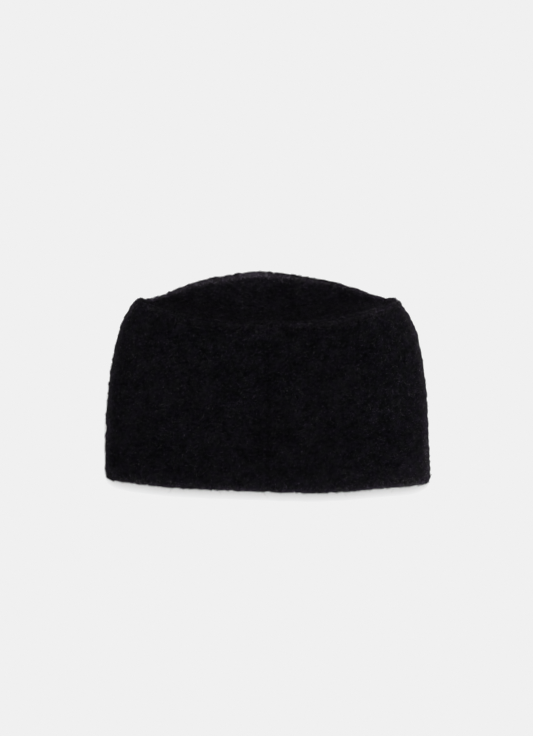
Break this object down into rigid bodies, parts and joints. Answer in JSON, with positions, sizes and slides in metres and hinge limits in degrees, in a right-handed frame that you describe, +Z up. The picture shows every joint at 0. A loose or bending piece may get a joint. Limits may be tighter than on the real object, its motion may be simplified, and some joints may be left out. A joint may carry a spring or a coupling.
{
  "type": "wool pillbox hat",
  "caption": "Deep felted-knit wool hat lying flat: a folded side band with an open hem and a narrow oval crown piece joined by a raised seam.",
  "frame": {"origin": "middle of the hat's plan box, on the surface that the hat lies on", "axes": "+X across the hat from its left fold to its right fold, +Y from the open hem towards the crown, +Z up from the surface"},
  "size_m": [0.2698, 0.1837, 0.0594],
  "materials": {
    "black_wool": "brushed, felted wool knit, violet-tinged black, matt with a short soft nap"
  },
  "bodies": {
    "root": {"band_upper": "black_wool", "band_lower": "black_wool", "crown": "black_wool"}
  },
  "joints": []
}
